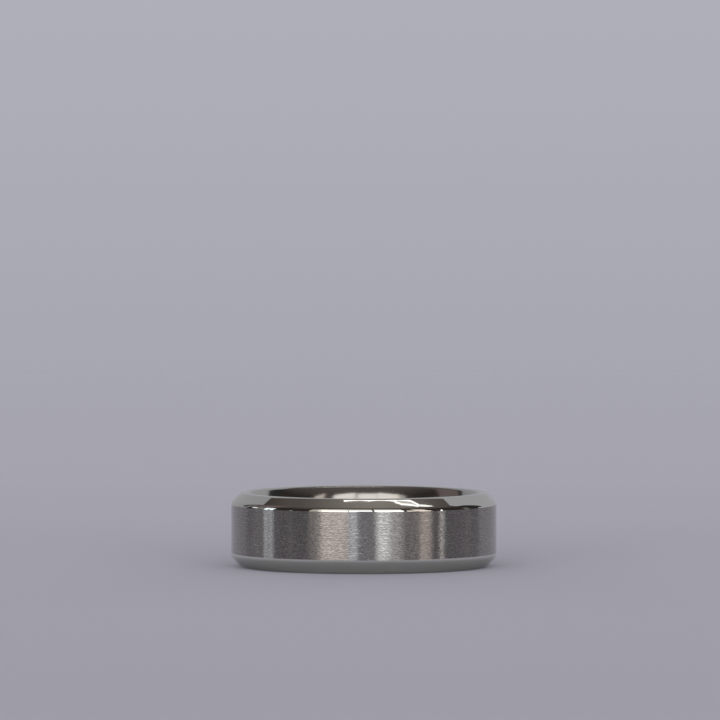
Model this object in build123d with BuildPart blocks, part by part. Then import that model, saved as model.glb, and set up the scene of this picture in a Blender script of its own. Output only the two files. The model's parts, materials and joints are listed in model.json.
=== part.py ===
"""Plain wedding band, 7 mm wide: one ring turned from a single blank of white metal.

The band lies on one of its two rims with its axis upright, as it does on a table.
From outside to inside its section has a flat satin face, a polished 45 degree bevel above
and below it, a narrow rim, and a comfort-fit bore that flares towards both rims.
The two halves of the section are mirror images, so either rim can be the lower one.

Frame: millimetres, +Z up along the ring's axis, origin on the axis in the plane of the lower rim.
"""

import os

from build123d import *

# Driving dimensions
outer_diameter = 24.9
bore_diameter = 20.2  # ring size US 10 1/2, finger circumference 63.5 mm
band_width = 7.0

# Bevel between the satin face and the rim
bevel_leg = 0.95  # taken off both the face's width and the radius
bevel_crown_radius = 20.0  # polishing leaves the bevel slightly convex
face_edge_radius = 0.65  # soft polished corner between face and bevel

# Rim, which is the edge that the ring stands on
rim_nose_radius = 0.45  # between bevel and rim
rim_inner_diameter = 21.7  # where the rim would meet the flare if its corner were sharp
rim_corner_radius = 0.4  # between rim and flare

# Comfort-fit bore: a short straight wall in the middle, and domed flares up to each rim
bore_wall_length = 1.6

half_width = band_width / 2
face_radius = outer_diameter / 2
bore_radius = bore_diameter / 2
rim_inner_radius = rim_inner_diameter / 2

# Corners of the upper half of the section, as (radius, height above the middle of the band)
bore_middle = (bore_radius, 0)
bore_wall_end = (bore_radius, bore_wall_length / 2)
rim_inner_corner = (rim_inner_radius, half_width)
rim_outer_corner = (face_radius - bevel_leg, half_width)
face_edge_corner = (face_radius, half_width - bevel_leg)
face_middle = (face_radius, 0)

section_plane = Plane(origin=(0, 0, half_width), x_dir=(1, 0, 0), z_dir=(0, -1, 0))

with BuildPart() as band:
    with BuildSketch(section_plane) as section:
        with BuildLine():
            wall = Line(bore_middle, bore_wall_end)
            flare = TangentArc(bore_wall_end, rim_inner_corner, tangent=wall % 1)
            Line(rim_inner_corner, rim_outer_corner)
            RadiusArc(rim_outer_corner, face_edge_corner, bevel_crown_radius)
            Line(face_edge_corner, face_middle)
            Line(face_middle, bore_middle)
        make_face()
        # Each rounding adds vertices, so each corner is picked out again: the rim is at the top
        # of the half section and the satin face is at its outside.
        fillet(section.vertices().group_by(Axis.Y)[-1].sort_by(Axis.X)[0], rim_corner_radius)
        fillet(section.vertices().group_by(Axis.Y)[-1].sort_by(Axis.X)[-1], rim_nose_radius)
        fillet(section.vertices().group_by(Axis.X)[-1].sort_by(Axis.Y)[-1], face_edge_radius)
        mirror(about=Plane.XZ)
    revolve(axis=Axis.Z)

band.part.label = "band"

os.makedirs("parts", exist_ok=True)
export_step(band.part, "parts/band.step")

size = band.part.bounding_box().size
print(f"band: {size.X:.2f} x {size.Y:.2f} x {size.Z:.2f} mm, {band.part.volume:.1f} mm3")
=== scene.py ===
"""Looks of the plain wedding band: its brushed and polished metal, a pale floor, the studio and the camera.

Metres, in the row's own frame: +Z up along the ring's axis, the ring standing on z = 0.
An azimuth is a direction round the ring in degrees: 0 faces the camera, 90 is to the camera's right
and 180 is straight behind the ring.
"""

import json
import math

import bpy
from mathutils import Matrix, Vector, noise


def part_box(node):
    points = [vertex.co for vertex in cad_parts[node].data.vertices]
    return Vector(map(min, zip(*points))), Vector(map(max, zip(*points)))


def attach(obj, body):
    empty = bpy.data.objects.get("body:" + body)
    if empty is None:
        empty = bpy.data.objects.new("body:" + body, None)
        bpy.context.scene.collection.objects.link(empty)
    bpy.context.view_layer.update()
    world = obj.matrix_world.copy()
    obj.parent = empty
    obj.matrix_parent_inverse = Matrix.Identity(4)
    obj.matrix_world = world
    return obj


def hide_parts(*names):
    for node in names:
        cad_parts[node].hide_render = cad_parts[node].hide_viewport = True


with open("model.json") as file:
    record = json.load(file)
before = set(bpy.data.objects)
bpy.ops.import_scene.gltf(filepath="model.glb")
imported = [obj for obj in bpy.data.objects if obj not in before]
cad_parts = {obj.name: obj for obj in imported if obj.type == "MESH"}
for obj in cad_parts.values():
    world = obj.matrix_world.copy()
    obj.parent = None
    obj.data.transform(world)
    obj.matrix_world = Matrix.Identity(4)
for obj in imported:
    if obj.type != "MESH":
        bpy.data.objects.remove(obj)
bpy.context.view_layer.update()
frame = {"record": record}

MM = 0.001

# Sizes that the frame gives
band_low, band_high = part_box("band")
FACE_RADIUS = band_high.x
BAND_WIDTH = band_high.z - band_low.z
BORE = next(m for m in frame["record"]["mounts"] if m["name"] == "finger_bore")["dims"]
BORE_RADIUS = BORE["r_mm"] * MM
BORE_WALL_LENGTH = BORE["length_mm"] * MM

# The rest of the section, as in the CAD
BEVEL_LEG = 0.95 * MM
BEVEL_CROWN_RADIUS = 20.0 * MM
FACE_EDGE_RADIUS = 0.65 * MM
RIM_NOSE_RADIUS = 0.45 * MM
RIM_INNER_RADIUS = 10.85 * MM
RIM_CORNER_RADIUS = 0.40 * MM

# The brushed part of the face. It sits a little high, and its edges aren't perfectly even.
SATIN_LOW = 1.33 * MM
SATIN_HIGH = 5.84 * MM
SATIN_EDGE_WOBBLE = 0.012 * MM
SATIN_EDGE_WAVES = 8  # radius, in noise cells, of the circle on which the waver is read

# How far past its inner edge a rim still counts as bore when the materials are handed out
BORE_MARGIN = 0.02 * MM


def new_nodes(tree):
    """Empties a node tree and gives a function that adds a node, sets its values and wires its inputs."""
    tree.nodes.clear()

    def add(kind, inputs=None, **settings):
        node = tree.nodes.new("ShaderNode" + kind)
        for name, value in settings.items():
            setattr(node, name, value)
        for name, value in (inputs or {}).items():
            if isinstance(value, bpy.types.NodeSocket):
                tree.links.new(value, node.inputs[name])
            else:
                node.inputs[name].default_value = value
        return node

    return add


def new_material(name):
    """A material with an empty node tree, and the function that adds nodes to it."""
    material = bpy.data.materials.new(name)
    material.use_nodes = True
    return material, new_nodes(material.node_tree)


def mix_shaders(add, factor, first, second):
    """The first shader where the factor is 0, the second where it is 1."""
    return add("MixShader", {0: factor, 1: first, 2: second}).outputs["Shader"]


def link(obj):
    bpy.context.scene.collection.objects.link(obj)
    return obj


# ---------------------------------------------------------------------------------------------
# The ring's mesh


def circle_through(start, end, radius):
    """Centre of the circle of that radius through two points, on the side of the metal."""
    middle = (start + end) / 2
    half = (end - start) / 2
    inward = Vector((-half.y, half.x)).normalized()
    return middle + inward * math.sqrt(radius**2 - half.length_squared)


def half_section():
    """The arcs of the upper half of the section, from the middle of the face to the middle of the bore.

    Each arc is (centre, radius, first angle, last angle). The metal is on the centre's side of every
    arc, so the angle is also the direction of the surface normal. Straight stretches join the arcs.
    """
    top = BAND_WIDTH / 2
    bevel_start = Vector((FACE_RADIUS, top - BEVEL_LEG))
    bevel_end = Vector((FACE_RADIUS - BEVEL_LEG, top))
    crown = circle_through(bevel_start, bevel_end, BEVEL_CROWN_RADIUS)
    edge_x = FACE_RADIUS - FACE_EDGE_RADIUS
    edge_reach = BEVEL_CROWN_RADIUS - FACE_EDGE_RADIUS
    face_edge = Vector((edge_x, crown.y + math.sqrt(edge_reach**2 - (edge_x - crown.x) ** 2)))
    nose_y = top - RIM_NOSE_RADIUS
    nose_reach = BEVEL_CROWN_RADIUS - RIM_NOSE_RADIUS
    nose = Vector((crown.x + math.sqrt(nose_reach**2 - (nose_y - crown.y) ** 2), nose_y))

    flare_depth = RIM_INNER_RADIUS - BORE_RADIUS
    flare_height = top - BORE_WALL_LENGTH / 2
    flare_radius = (flare_depth**2 + flare_height**2) / (2 * flare_depth)
    flare = Vector((BORE_RADIUS + flare_radius, BORE_WALL_LENGTH / 2))
    corner_y = top - RIM_CORNER_RADIUS
    corner_reach = flare_radius - RIM_CORNER_RADIUS
    corner = Vector((flare.x - math.sqrt(corner_reach**2 - (corner_y - flare.y) ** 2), corner_y))

    def direction(centre, other):
        return math.atan2(other.y - centre.y, other.x - centre.x)

    bevel_foot = direction(crown, face_edge)
    bevel_head = direction(crown, nose)
    flare_head = direction(flare, corner)
    return [
        (face_edge, FACE_EDGE_RADIUS, 0, bevel_foot),
        (crown, BEVEL_CROWN_RADIUS, bevel_foot, bevel_head),
        (nose, RIM_NOSE_RADIUS, bevel_head, math.pi / 2),
        (corner, RIM_CORNER_RADIUS, math.pi / 2, flare_head),
        (flare, flare_radius, flare_head, math.pi),
    ]


HALF_SECTION = half_section()


def arc_points(centre, radius, first, last, steps=10):
    """(radius, height above the middle, normal angle) along one arc of the section."""
    angles = [first + (last - first) * step / steps for step in range(steps + 1)]
    return [(centre.x + radius * math.cos(a), centre.y + radius * math.sin(a), a) for a in angles]


def satin_edge(height, turn):
    """Height above the middle of one edge of the satin, which wavers slightly round the ring."""
    across, along = SATIN_EDGE_WAVES * math.cos(turn), SATIN_EDGE_WAVES * math.sin(turn)
    place = Vector((across, along, height / MM))
    return height - BAND_WIDTH / 2 + SATIN_EDGE_WOBBLE * noise.noise(place)


def section_at(turn):
    """The section at one angle round the ring: over the top, down the bore and up to the satin's foot."""
    centre, radius, _, last = HALF_SECTION[0]
    satin_top = math.asin((satin_edge(SATIN_HIGH, turn) - centre.y) / radius)
    face_top = [(FACE_RADIUS, centre.y, 0.0)]
    upper_arcs = [(centre, radius, satin_top, last)] + HALF_SECTION[1:]
    upper = [point for arc in upper_arcs for point in arc_points(*arc)]
    lower = [(x, -y, -a) for arc in reversed(HALF_SECTION) for x, y, a in reversed(arc_points(*arc))]
    face_foot = [(FACE_RADIUS, satin_edge(SATIN_LOW, turn), 0.0)]
    return face_top + upper + lower + face_foot


def section_slot(first, section, second):
    """Material of the face between two points of the section: 0 satin, 1 mirror polish, 2 the bore."""
    if first in (0, len(section) - 1):
        return 0
    outermost = max(section[first][0], section[second][0])
    return 2 if outermost < RIM_INNER_RADIUS + BORE_MARGIN else 1


def make_band(materials, segments=360):
    """The ring as one closed mesh, turned from its section, with exact normals."""
    vertices, normals, faces, slots = [], [], [], []
    for j in range(segments):
        turn = 2 * math.pi * j / segments
        section = section_at(turn)
        for radius, height, angle in section:
            outward = math.cos(angle)
            vertices.append((radius * math.cos(turn), radius * math.sin(turn), height + BAND_WIDTH / 2))
            normals.append((outward * math.cos(turn), outward * math.sin(turn), math.sin(angle)))
    count = len(section)
    for j in range(segments):
        here, there = j * count, (j + 1) % segments * count
        for i in range(count):
            after = (i + 1) % count
            faces.append((here + i, there + i, there + after, here + after))
            slots.append(section_slot(i, section, after))
    mesh = bpy.data.meshes.new("wedding_band")
    mesh.from_pydata(vertices, [], faces)
    mesh.polygons.foreach_set("material_index", slots)
    mesh.polygons.foreach_set("use_smooth", [True] * len(faces))
    for material in materials:
        mesh.materials.append(material)
    mesh.normals_split_custom_set_from_vertices(normals)
    return link(bpy.data.objects.new("wedding_band", mesh))


# ---------------------------------------------------------------------------------------------
# Metal

NOISE_LOW = 0.3  # the range that most of a noise texture's values lie in
NOISE_HIGH = 0.7


def strokes(add, length, width, detail):
    """Noise with cells `length` across the ring and `width` along its axis: on the face, strokes round it."""
    place = add("TexCoord").outputs["Object"]
    scale = (1 / length, 1 / length, 1 / width)
    stretched = add("Mapping", {"Vector": place, "Scale": scale}).outputs["Vector"]
    return add("TexNoise", {"Vector": stretched, "Scale": 1.0, "Detail": detail}).outputs["Fac"]


def spread(add, value, low, high, from_low=NOISE_LOW, from_high=NOISE_HIGH):
    """A value mapped to the range low to high, by default from where most noise values lie."""
    ends = {"From Min": from_low, "From Max": from_high, "To Min": low, "To Max": high}
    return add("MapRange", {"Value": value, **ends}).outputs["Result"]


def bump(add, height, depth, under=None):
    """A bump of that depth, on top of another bump's normal if one is given."""
    inputs = {"Height": height, "Distance": depth, "Strength": 1.0}
    if under:
        inputs["Normal"] = under
    return add("Bump", inputs).outputs["Normal"]


def blend(add, factor, first, second):
    """A colour between two others. Each is a colour's red, green and blue, or another node's output."""
    node = add("Mix", {"Factor": factor}, data_type="RGBA")
    for socket, colour in (("A", first), ("B", second)):
        if isinstance(colour, bpy.types.NodeSocket):
            node.id_data.links.new(colour, node.inputs[socket])
        else:
            node.inputs[socket].default_value = (*colour, 1)
    return node.outputs["Result"]


def satin_metal():
    """The face, brushed round the ring: it spreads light along the ring's axis and hardly round it."""
    material, add = new_material("white_metal_satin")
    grain = strokes(add, 0.27 * MM, 0.055 * MM, 2.0)
    grooves = strokes(add, 2.5 * MM, 0.14 * MM, 2.0)
    scratches = strokes(add, 1.3 * MM, 0.09 * MM, 0.0)

    tone = blend(add, spread(add, grain, 0, 1), (0.22, 0.209, 0.197), (0.495, 0.467, 0.437))
    scratched = spread(add, scratches, 0, 1, 0.74, 0.84)  # only its rare peaks are scratches
    grooved = bump(add, grooves, 0.004 * MM)
    round_ring = add("Tangent", direction_type="RADIAL", axis="Z")
    shader = add(
        "BsdfPrincipled",
        {
            "Base Color": blend(add, scratched, tone, (0.55, 0.535, 0.51)),
            "Metallic": 1.0,
            "Roughness": spread(add, grooves, 0.155, 0.185),
            "Anisotropic": 1.0,
            "Anisotropic Rotation": 0.25,  # a quarter turn: the gloss spreads across the strokes
            "Normal": bump(add, grain, 0.005 * MM, grooved),
            "Tangent": round_ring.outputs["Tangent"],
        },
    )
    add("OutputMaterial", {"Surface": shader.outputs["BSDF"]})
    return material


RIM_HIGHLIGHT_WIDTH = 0.10 * MM
RIM_WEAR_ROUGHNESS = 0.2
# The rims' lighter colour: a painted highlight
RIM_HIGHLIGHT_COLOUR = (0.76, 0.755, 0.73)


def rim_highlight_and_rough_mask(add, hairs):
    """Where the polish gets a painted highlight and extra roughness: broken up by the hairlines, and only at
    the very top and foot of the ring.
    """
    height = add("SeparateXYZ", {"Vector": add("TexCoord").outputs["Object"]}).outputs["Z"]
    from_middle = add("Math", {0: height, 1: BAND_WIDTH / 2}, operation="SUBTRACT").outputs["Value"]
    to_rim = add("Math", {0: from_middle}, operation="ABSOLUTE").outputs["Value"]
    rim = spread(add, to_rim, 0, 1, BAND_WIDTH / 2 - RIM_HIGHLIGHT_WIDTH, BAND_WIDTH / 2)
    return add("Math", {0: rim, 1: hairs}, operation="MULTIPLY").outputs["Value"]


def polished_metal(name, colour, smoothest, roughest):
    """A polish between two roughnesses, faintly wavy, with hairlines, and rims that are rougher and painted
    lighter as a painted highlight.
    """
    material, add = new_material(name)
    hairs = strokes(add, 3.0 * MM, 0.12 * MM, 3.0)
    waves = strokes(add, 2.0 * MM, 2.0 * MM, 1.0)
    rim_highlight_and_roughening = rim_highlight_and_rough_mask(add, hairs)
    polish = spread(add, hairs, smoothest, roughest)
    rough = add("Math", {0: rim_highlight_and_roughening, 1: RIM_WEAR_ROUGHNESS, 2: polish}, operation="MULTIPLY_ADD")
    shader = add(
        "BsdfPrincipled",
        {
            # Painted highlight: the very top and foot of the ring are blended to a lighter colour
            "Base Color": blend(add, rim_highlight_and_roughening, colour, RIM_HIGHLIGHT_COLOUR),
            "Metallic": 1.0,
            "Roughness": rough.outputs["Value"],
            "Normal": bump(add, hairs, 0.0002 * MM, bump(add, waves, 0.002 * MM)),
        },
    )
    add("OutputMaterial", {"Surface": shader.outputs["BSDF"]})
    return material


mirror = polished_metal("white_metal_polished", (0.70, 0.69, 0.645), 0.03, 0.06)
# The bore is the same metal as the polish, given a darker colour: painted shade inside the ring
bore = polished_metal("white_metal_bore_shaded", (0.61, 0.60, 0.57), 0.12, 0.15)
band = make_band([satin_metal(), mirror, bore])
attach(band, "root")
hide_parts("band")


# ---------------------------------------------------------------------------------------------
# Studio: what the ring reflects. The camera sees none of the panels, and only the world's pale part.


def towards(azimuth, elevation=0.0):
    """Unit vector from the ring in that direction, in degrees."""
    a, e = math.radians(azimuth), math.radians(elevation)
    return Vector((math.sin(a) * math.cos(e), -math.cos(a) * math.cos(e), math.sin(e)))


def tangent(degrees):
    return math.tan(math.radians(degrees))


def glow(name, colour, strength=1.0):
    """A plain light-giving material."""
    material, add = new_material(name)
    shader = add("Emission", {"Color": (*colour, 1), "Strength": strength})
    add("OutputMaterial", {"Surface": shader.outputs["Emission"]})
    return material


def panel(name, corners, material):
    """A flat panel that shows in the metal and nowhere else."""
    mesh = bpy.data.meshes.new(name)
    mesh.from_pydata([tuple(c) for c in corners], [], [(0, 1, 2, 3)])
    mesh.materials.append(material)
    obj = link(bpy.data.objects.new(name, mesh))
    obj.visible_camera = False
    obj.visible_diffuse = False
    obj.visible_shadow = False
    return obj


WINDOW_WALL = -3.0  # azimuths that the walls are square to
LEFT_WALL = -90
WALL_DISTANCE = 1.2
FURNITURE_DISTANCE = 1.0
SCREEN_DISTANCE = 0.3


def wall_panel(
    name, left, right, bottom, top, colour, strength=1.0, wall=WINDOW_WALL, distance=WALL_DISTANCE
):
    """An upright panel between two azimuths, on a flat wall that is square to the azimuth `wall`.

    Bottom and top are the elevations that those heights would have straight ahead on the wall.
    """

    def point(azimuth, elevation):
        along = distance * tangent(azimuth - wall)
        height = distance * tangent(elevation)
        return towards(wall) * distance + towards(wall + 90) * along + Vector((0, 0, height))

    corners = [point(left, bottom), point(right, bottom), point(right, top), point(left, top)]
    return panel(name, corners, glow(name, colour, strength))


WARM = (1.0, 0.93, 0.88)
NEUTRAL = (1.0, 0.99, 0.98)
COOL = (0.93, 0.98, 1.0)
BLUISH = (0.83, 0.91, 1.0)
UPPER_PANES = (1.0, 0.955, 0.925)
DARK_SCREEN = (0.03, 0.029, 0.03)

# The window wall behind the camera: curtains and four panes. The upper part of each pane is dimmer.
wall_panel("curtain", -48.5, -41, -1, 44, WARM, 0.56)
wall_panel("curtain_edge", -41, -37, -1, 44, WARM, 1.12)
wall_panel("window_1", -37, -13.8, -1, 20, WARM, 2.5)
wall_panel("window_2", -12.7, 7.4, -1, 20, BLUISH, 2.6)
wall_panel("window_3", 9.4, 35, -1, 20, COOL, 3.4)
wall_panel("window_4", 38, 61, -1, 22, (1.0, 0.9, 0.83), 1.8)
wall_panel("upper_pane_1", -37, -15.5, 20, 43, UPPER_PANES, 1.15)
wall_panel("upper_pane_2", -15, 7.4, 20, 41, UPPER_PANES, 1.15)
wall_panel("upper_pane_3", 9.4, 35, 20, 43, UPPER_PANES, 1.15)
wall_panel("upper_pane_4", 46, 57.5, 22, 51, (1.0, 0.88, 0.80), 0.75)

# Things in front of the windows
for name, left, right, top, colour in (
    ("photographer", -5.7, 11.2, 12, (0.19, 0.19, 0.21)),
    ("cupboard_door", 22.5, 28.5, 9, (0.85, 0.85, 0.86)),
    ("cupboard", 28.5, 36, 8, (0.34, 0.34, 0.35)),
    ("pier", 35.5, 43.5, 9.5, (0.025, 0.024, 0.022)),
    ("pier_foot", 43.5, 50, 12, (0.05, 0.045, 0.042)),
):
    wall_panel(name, left, right, -8, top, colour, distance=FURNITURE_DISTANCE)

# The left wall: a curtain, windows and the wall above them
wall_panel("curtain_far_left", -108, -97, -1, 22, NEUTRAL, 0.22, LEFT_WALL)
wall_panel("window_far_left", -97, -91.6, -1, 22, BLUISH, 1.75, LEFT_WALL)
wall_panel("window_far_left_2", -90.6, -85.6, -1, 22, BLUISH, 1.75, LEFT_WALL)
wall_panel("wall_left", -124, -93, 22, 52, (0.165, 0.132, 0.132), 1.0, LEFT_WALL)
wall_panel("window_far_left_high", -115, -107, 9, 17, BLUISH, 1.4, LEFT_WALL)

# Lamps at both sides, and a picture on the right
wall_panel("lamp_left", -68, -65, 2, 9, NEUTRAL, 0.4, wall=-66)
wall_panel("lamp_right", 70.9, 72.3, -2, 12, NEUTRAL, 6.0, wall=71)
wall_panel("picture_right", 98, 105, -2, 20, WARM, 0.16, wall=90)

# Dark screens close to the ring, beside the backdrop and over its ends
for name, left, right, bottom, top, wall in (
    ("screen_right", 105, 117, -4, 10, 110),
    ("screen_right_high", 105, 125, 10, 40, 110),
    ("screen_left_high", -131, -124, 10, 38, -125),
):
    wall_panel(name, left, right, bottom, top, DARK_SCREEN, wall=wall, distance=SCREEN_DISTANCE)


BACKDROP_HEIGHT = 0.8


def backdrop():
    """The paper sweep behind the ring. It stands askew, leans over it, and is lighter on the right."""
    material, add = new_material("backdrop")
    along = add("SeparateXYZ", {"Vector": add("TexCoord").outputs["Object"]}).outputs["X"]
    right = spread(add, along, 0, 1, -1.5, 0.8)
    colour = blend(add, right, (0.285, 0.288, 0.308), (0.425, 0.43, 0.46))
    shader = add("Emission", {"Color": colour})
    add("OutputMaterial", {"Surface": shader.outputs["Emission"]})
    # In backdrop heights: right of, behind and above the ring
    corners = [(-1.94, 1.33, -0.01), (1.05, 0.58, -0.01), (1.05, 0.41, 1), (-1.94, 1.03, 1)]
    panel("backdrop", [Vector(c) * BACKDROP_HEIGHT for c in corners], material)


backdrop()

DARK_ROOM = (0.034, 0.028, 0.026)  # what the metal reflects wherever there is no panel and no floor
CEILING_HEIGHT = 1.5


def ceiling():
    """A ceiling that is lightest over the ring. It starts at the window wall and fades out far off."""
    material, add = new_material("ceiling")
    place = add("TexCoord").outputs["Object"]
    lightest = Vector((0.1, -0.05, 1)) * CEILING_HEIGHT
    away = add("VectorMath", {0: place, 1: lightest}, operation="DISTANCE").outputs["Value"]
    light = add(
        "MapRange",
        {"Value": away, "From Max": 0.75 * CEILING_HEIGHT, "To Min": 1.0, "To Max": 0.0},
        interpolation_type="SMOOTHSTEP",
    )
    near_colour = blend(add, light.outputs["Result"], (0.105, 0.091, 0.087), (0.262, 0.243, 0.226))
    far = spread(add, away, 0, 1, 0.8 * CEILING_HEIGHT, 1.55 * CEILING_HEIGHT)
    shader = add("Emission", {"Color": blend(add, far, near_colour, DARK_ROOM)})
    add("OutputMaterial", {"Surface": shader.outputs["Emission"]})
    # In ceiling heights: right of, behind and above the ring
    corners = [(-1.6, -1.05, 1), (1.6, -1.05, 1), (1.6, 1.6, 1), (-1.6, 1.6, 1)]
    panel("ceiling", [Vector(c) * CEILING_HEIGHT for c in corners], material)


def ceiling_bar(name, start, end, width, strength=1.8, level=0.99):
    """A bright bar just under the ceiling. Places are in ceiling heights, right of and behind the ring."""
    start = Vector((*start, level)) * CEILING_HEIGHT
    end = Vector((*end, level)) * CEILING_HEIGHT
    side = (end - start).cross(Vector((0, 0, 1))).normalized() * width * CEILING_HEIGHT / 2
    panel(name, [start - side, end - side, end + side, start + side], glow(name, NEUTRAL, strength))


ceiling()
# A hanging lamp seen from below: a thin tube, and a shade whose rim catches the light
ceiling_bar("lamp_tube", (-0.16, 0.01), (0.05, -0.01), 0.034, 3.2)
ceiling_bar("lamp_tube_end", (0.04, -0.01), (0.26, 0.05), 0.034, 3.2)
ceiling_bar("lamp_shade", (0.27, 0.04), (0.44, 0.11), 0.05, 0.6, 0.995)
ceiling_bar("lamp_shade_back", (0.25, 0.05), (0.39, 0.12), 0.022)
ceiling_bar("lamp_shade_side", (0.38, 0.115), (0.46, 0.115), 0.024)
ceiling_bar("lamp_shade_front", (0.25, 0.02), (0.32, 0.02), 0.022)
ceiling_bar("lamp_shade_lip", (0.31, 0.02), (0.46, 0.095), 0.022)
ceiling_bar("lamp_cord", (0.45, 0.10), (0.60, 0.225), 0.022)


GRADIENT_FOOT = -0.062  # the pale gradient starts this far below level, as a sine, and ends at level
AMBIENT = 0.365


def studio_world():
    """Pale to the camera, a dark warm room to the metal, and an even soft light to the floor.

    The world isn't sampled as a lamp, because such samples aren't rays of any of these kinds and would
    light the floor with the dark room.
    """
    world = bpy.data.worlds.new("studio")
    bpy.context.scene.world = world
    world.use_nodes = True
    world.cycles.sampling_method = "NONE"
    add = new_nodes(world.node_tree)
    height = add("SeparateXYZ", {"Vector": add("TexCoord").outputs["Generated"]}).outputs["Z"]
    rise = spread(add, height, 0, 1, GRADIENT_FOOT, 0)
    pale = blend(add, rise, (0.368, 0.364, 0.418), (0.430, 0.438, 0.490))

    seen = add("Background", {"Color": pale}).outputs["Background"]
    mirrored = add("Background", {"Color": (*DARK_ROOM, 1)}).outputs["Background"]
    ambient = add("Background", {"Color": (AMBIENT, AMBIENT, AMBIENT, 1)}).outputs["Background"]
    ray = add("LightPath").outputs
    unseen = mix_shaders(add, ray["Is Diffuse Ray"], mirrored, ambient)
    surface = mix_shaders(add, ray["Is Camera Ray"], unseen, seen)
    add("OutputWorld", {"Surface": surface})


studio_world()


# ---------------------------------------------------------------------------------------------
# Floor and light


FLOOR_RADIUS = 1.3
FLOOR_FADE = (0.15, 0.55)  # distances from the ring between which the floor fades out
FLOOR_DEPTH = 0.15  # how far in front of and behind the ring its brightness goes on changing


def pale_floor(segments=96):
    """A round pale floor that fades into the background far from the ring.

    Its colour is painted a little lighter behind the ring than in front of it, as painted light, and its
    sheen makes it lighter when seen at a low angle than when the ring's lower bevel reflects it from above.
    """
    material, add = new_material("pale_floor")
    place = add("TexCoord").outputs["Object"]
    away = add("VectorMath", {0: place}, operation="LENGTH").outputs["Value"]
    fade = spread(add, away, 0, 1, *FLOOR_FADE)
    grain = add("TexNoise", {"Vector": place, "Scale": 900.0, "Detail": 3.0}).outputs["Fac"]
    colour = blend(add, grain, (0.575, 0.583, 0.64), (0.615, 0.623, 0.685))
    behind = add("SeparateXYZ", {"Vector": place}).outputs["Y"]
    # Painted light: the floor's colour is scaled up behind the ring and down in front of it
    lighter = spread(add, behind, 0.70, 0.82, -FLOOR_DEPTH, FLOOR_DEPTH)
    shade = add("VectorMath", {0: colour, "Scale": lighter}, operation="SCALE")
    paper = add(
        "BsdfPrincipled",
        {
            "Base Color": shade.outputs["Vector"],
            "Roughness": 1.0,
            "Specular IOR Level": 0.0,
            "Sheen Weight": 0.73,
            "Sheen Roughness": 0.3,
            "Sheen Tint": (0.88, 0.845, 1.0, 1),
        },
    )
    clear = add("BsdfTransparent")
    below = add("NewGeometry").outputs["Backfacing"]
    hidden = add("Math", {0: fade, 1: below}, operation="MAXIMUM").outputs["Value"]
    surface = mix_shaders(add, hidden, paper.outputs["BSDF"], clear.outputs["BSDF"])
    add("OutputMaterial", {"Surface": surface})

    turns = [2 * math.pi * i / segments for i in range(segments)]
    rim = [(FLOOR_RADIUS * math.cos(turn), FLOOR_RADIUS * math.sin(turn), 0) for turn in turns]
    mesh = bpy.data.meshes.new("floor")
    mesh.from_pydata(rim, [], [tuple(range(segments))])
    mesh.materials.append(material)
    link(bpy.data.objects.new("floor", mesh))


def softbox(name, width, height, energy, azimuth, elevation, distance):
    """A rectangular area light, aimed at the ring, that lights the floor and doesn't show in the metal."""
    light = bpy.data.lights.new(name, "AREA")
    light.shape = "RECTANGLE"
    light.size = width
    light.size_y = height
    light.energy = energy
    direction = towards(azimuth, elevation)
    obj = link(bpy.data.objects.new(name, light))
    obj.location = direction * distance
    obj.rotation_mode = "QUATERNION"
    obj.rotation_quaternion = direction.to_track_quat("Z", "Y")
    obj.visible_glossy = False
    obj.visible_camera = False


pale_floor()
softbox("overhead_softbox", 1.6, 1.6, 2.1, 0, 80, 1.2)
softbox("window_softbox", 2.2, 0.75, 3.1, -3, 19, 1.2)
softbox("backdrop_softbox", 1.6, 0.6, 1.55, 180, 22, 0.9)


# ---------------------------------------------------------------------------------------------
# Camera: a long lens just above the floor, with the ring low in a square frame

CAMERA_DISTANCE = 0.90
CAMERA_HEIGHT = 0.0574
CAMERA_PITCH = -2.418
CAMERA_YAW = 0.0227
LENS = 480

camera_data = bpy.data.cameras.new("camera")
camera_data.lens = LENS
camera_data.sensor_width = 36
camera_data.clip_start = 0.05
camera_data.clip_end = 50
camera = link(bpy.data.objects.new("camera", camera_data))
camera.location = (0, -CAMERA_DISTANCE, CAMERA_HEIGHT)
camera.rotation_euler = (math.radians(90 + CAMERA_PITCH), 0, math.radians(CAMERA_YAW))
bpy.context.scene.camera = camera

bpy.context.scene.view_settings.view_transform = "Standard"
